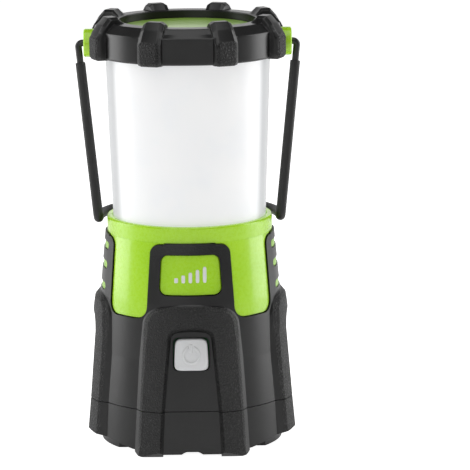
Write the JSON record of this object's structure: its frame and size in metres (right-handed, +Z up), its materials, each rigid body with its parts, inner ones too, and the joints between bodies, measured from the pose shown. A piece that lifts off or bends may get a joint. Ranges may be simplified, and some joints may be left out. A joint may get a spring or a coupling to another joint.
{
  "type": "camping lantern",
  "caption": "Upright camping lantern with ribbed base, frosted lift-off shade, lugged head and a folding bail.",
  "frame": {"origin": "centre of the footprint on the floor, under the lantern's axis", "axes": "+Z up along the lantern's axis, -Y towards the side with the power button, +X to that side's right"},
  "size_m": [0.0988, 0.092, 0.19],
  "materials": {
    "armour_black": "soft-touch moulded, leather grain on the raised faces",
    "housing_green": "glossy moulded lime",
    "badge_green": "glossy moulded lime, blank",
    "grip_green": "satin lime",
    "base_black": "soft-touch moulded, leather grain",
    "seal_rubber": "moulded O-ring",
    "screw_steel": "zinc plated",
    "cradle_black": "moulded",
    "cell_wrap": "shrink wrapped can",
    "contact_nickel": "nickel plated strip",
    "board_green": "solder mask",
    "switch_black": "moulded",
    "deck_white": "white reflective",
    "sink_aluminium": "extruded, bead blasted",
    "led_yellow": "phosphor coat",
    "dome_frost": "frosted polycarbonate",
    "button_grey": "translucent satin",
    "boot_silicone": "silicone",
    "flap_rubber": "moulded",
    "lens_frost": "frosted polycarbonate",
    "head_black": "moulded, fine grain on the lugs",
    "disc_green": "satin moulded lime",
    "reflector_white": "white",
    "boss_green": "glossy moulded lime",
    "bail_steel": "black coated wire",
    "sleeve_rubber": "matt ribbed sleeve"
  },
  "bodies": {
    "main_body": {"body_armour": "armour_black", "main_housing": "housing_green", "badge_plates": "badge_green", "grip_inlays": "grip_green", "base_cap": "base_black", "base_seal": "seal_rubber", "base_screws": "screw_steel", "battery_cradle": "cradle_black", "battery_cells": "cell_wrap", "battery_contacts": "contact_nickel", "control_board": "board_green", "tact_switch": "switch_black", "charging_port": "contact_nickel", "port_board": "board_green", "led_deck": "deck_white", "heat_sink": "sink_aluminium", "led_board": "deck_white", "led_chips": "led_yellow", "led_cover": "dome_frost", "deck_screws": "screw_steel", "port_cover_pin": "screw_steel", "port_cover_clips": "flap_rubber", "button_boot": "boot_silicone"},
    "power_button": {"power_button": "button_grey"},
    "port_cover": {"port_cover": "flap_rubber"},
    "shade_seal": {"shade_seal": "seal_rubber"},
    "shade": {"diffuser_lens": "lens_frost", "head_ring": "head_black", "top_disc": "disc_green", "reflector_cone": "reflector_white", "head_gasket": "seal_rubber", "pivot_bosses": "boss_green"},
    "bail": {"bail_wire": "bail_steel", "bail_sleeve": "sleeve_rubber"}
  },
  "joints": [
    {"name": "button_press", "type": "slide", "parent": "main_body", "child": "power_button", "axis": [0, 1, 0], "range_m": [0, 0.0012], "stiffness_N_per_m": 900, "springref_m": -0.002, "deforming": ["button_boot"]},
    {"name": "port_cover_hinge", "type": "hinge", "parent": "main_body", "child": "port_cover", "pos_m": [0, 0.04181, 0.0524], "axis": [1, 0, 0], "range_deg": [0, 110]},
    {"name": "shade_twist", "type": "hinge", "parent": "main_body", "child": "shade_seal", "pos_m": [0, 0, 0.0963], "axis": [0, 0, 1], "range_deg": [0, 20]},
    {"name": "shade_lift", "type": "slide", "parent": "shade_seal", "child": "shade", "axis": [0, 0, 1], "range_m": [0, 0.06]},
    {"name": "bail_swing", "type": "hinge", "parent": "shade", "child": "bail", "pos_m": [0, 0, 0.1768], "axis": [1, 0, 0], "range_deg": [0, 295]}
  ]
}
